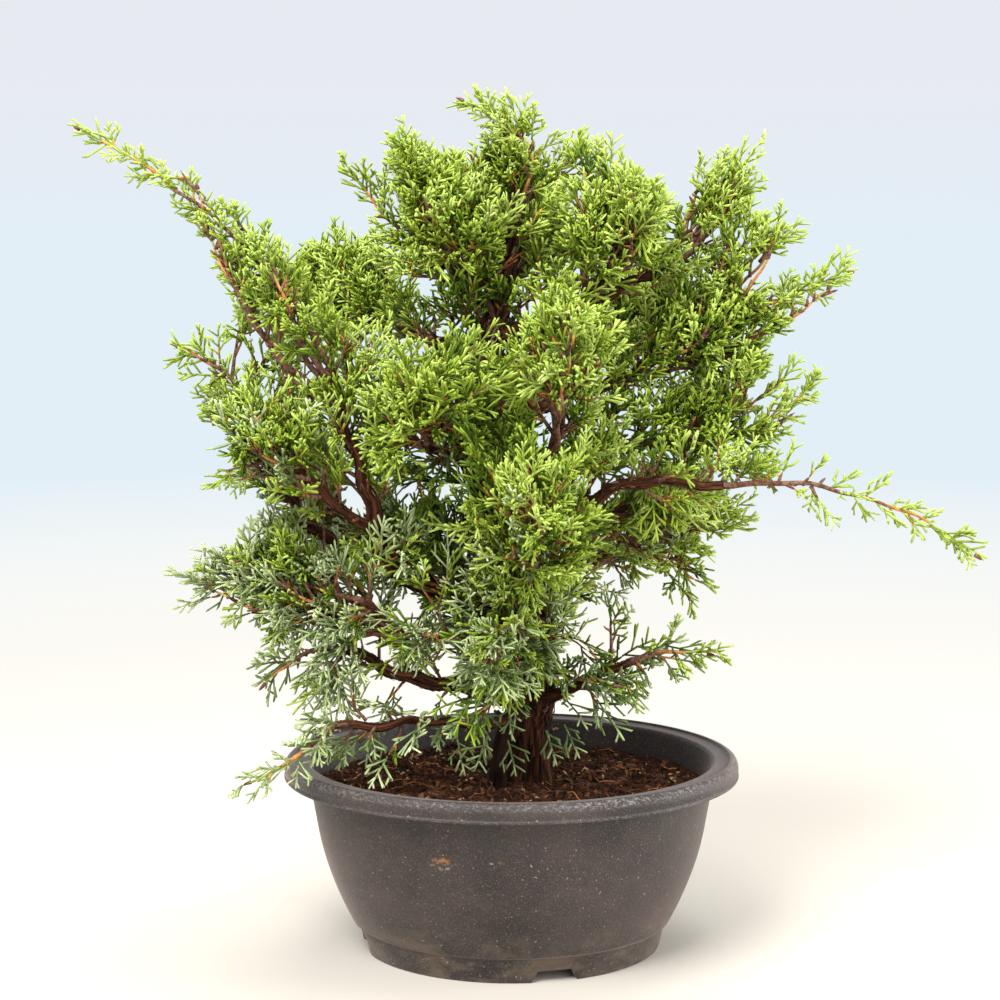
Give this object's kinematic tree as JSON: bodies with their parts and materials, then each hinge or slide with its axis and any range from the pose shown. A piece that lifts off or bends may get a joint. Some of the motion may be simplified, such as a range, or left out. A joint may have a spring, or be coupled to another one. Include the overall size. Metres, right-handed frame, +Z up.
{
  "type": "itoigawa chinese juniper bonsai in a pot",
  "caption": "Small informal upright juniper bonsai with a bushy crown and a few long shoots, in an oval dark plastic pot filled with soil.",
  "frame": {"origin": "middle of the whole plant's box in plan, at the height of the plane that the pot's foot stands on", "axes": "+Z up the trunk, X along the pot's long side with +X on the right seen from the front, front towards -Y"},
  "size_m": [0.4414, 0.2694, 0.4295],
  "materials": {
    "pot_plastic": "satin, finely pebbled",
    "soil": "coarse, rough",
    "trunk_bark": "rough, flaking",
    "bough_bark": "rough, flaking",
    "foliage_low": "matt",
    "foliage_middle": "matt",
    "foliage_high": "matt"
  },
  "bodies": {
    "root": {"pot": "pot_plastic", "soil": "soil", "trunk": "trunk_bark", "bough_left": "bough_bark", "bough_left_riser": "bough_bark", "bough_left_outer": "bough_bark", "bough_left_mid": "bough_bark", "bough_left_low": "bough_bark", "bough_left_rise": "bough_bark", "bough_left_ground": "bough_bark", "bough_right_low": "bough_bark", "bough_right_long": "bough_bark", "bough_right_mid": "bough_bark", "bough_right_upper": "bough_bark", "bough_upper_right": "bough_bark", "bough_right_top": "bough_bark", "bough_right_shoulder": "bough_bark", "bough_right_hang": "bough_bark", "bough_center_front": "bough_bark", "bough_center_low": "bough_bark", "bough_left_center": "bough_bark", "bough_rear_right": "bough_bark", "bough_rear_left": "bough_bark", "bough_rear_mid": "bough_bark", "bough_rear_left_low": "bough_bark", "bough_rear_right_low": "bough_bark", "foliage_apex": "foliage_high", "foliage_upper_left": "foliage_high", "foliage_upper_tip": "foliage_high", "foliage_upper_right": "foliage_high", "foliage_right_top": "foliage_high", "foliage_right_shoulder": "foliage_high", "foliage_right_cloud": "foliage_high", "foliage_right_lower": "foliage_high", "foliage_right_long": "foliage_middle", "foliage_right_hang": "foliage_middle", "foliage_right_low": "foliage_low", "foliage_right_foot": "foliage_low", "foliage_center_front": "foliage_high", "foliage_center_low": "foliage_middle", "foliage_center_foot": "foliage_low", "foliage_low_front": "foliage_low", "foliage_left_foot": "foliage_low", "foliage_left_center": "foliage_high", "foliage_left_top": "foliage_high", "foliage_left_tip": "foliage_high", "foliage_left_mid": "foliage_middle", "foliage_left_cloud": "foliage_middle", "foliage_left_low": "foliage_low", "foliage_left_rim": "foliage_low", "foliage_rear_top": "foliage_high", "foliage_rear_right": "foliage_high", "foliage_rear_left": "foliage_high", "foliage_rear_mid": "foliage_middle", "foliage_rear_left_low": "foliage_middle", "foliage_rear_right_low": "foliage_middle", "foliage_rear_low": "foliage_low"}
  },
  "joints": []
}
